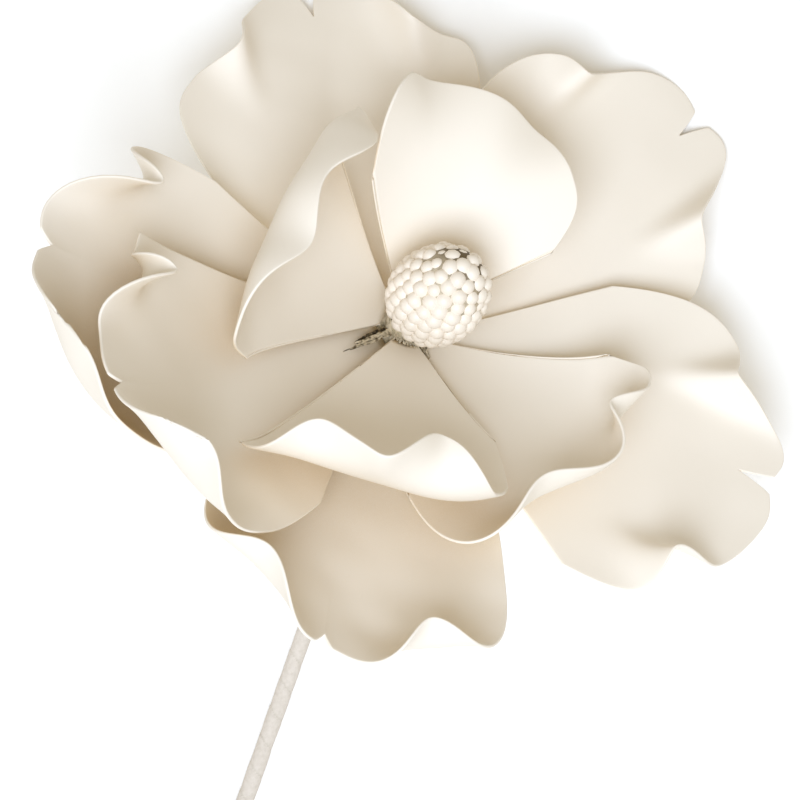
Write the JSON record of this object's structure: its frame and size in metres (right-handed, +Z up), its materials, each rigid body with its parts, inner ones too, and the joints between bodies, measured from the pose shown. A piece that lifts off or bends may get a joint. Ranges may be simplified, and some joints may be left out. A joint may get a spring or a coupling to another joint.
{
  "type": "artificial magnolia flower",
  "caption": "Made magnolia bloom: curled foam petals in layers round a beaded egg-shaped centre, on a tape-wrapped wire stem, lying on a surface as a decoration.",
  "frame": {"origin": "on the surface the flower lies on, under the middle of its bounding box", "axes": "+Z up from the surface, -Y toward the cut end of the stem, +X to the right as seen from above with the stem toward the viewer"},
  "size_m": [0.193, 0.3104, 0.1367],
  "materials": {
    "ivory_foam": "thin ivory craft foam, soft matte, heat-curled",
    "ivory_beads": "small ivory foam balls with a faint satin skin",
    "olive_tape": "rough olive florist's tape with torn edges",
    "stem_tape": "off-white crepe paper tape, wound in a shallow spiral"
  },
  "bodies": {
    "root": {"petal_outer_1": "ivory_foam", "petal_outer_2": "ivory_foam", "petal_outer_3": "ivory_foam", "petal_outer_4": "ivory_foam", "petal_outer_5": "ivory_foam", "petal_middle": "ivory_foam", "petal_inner_1": "ivory_foam", "petal_inner_2": "ivory_foam", "petal_inner_3": "ivory_foam", "petal_inner_4": "ivory_foam", "centre": "ivory_beads", "taped_base": "olive_tape", "stem": "stem_tape"}
  },
  "joints": []
}
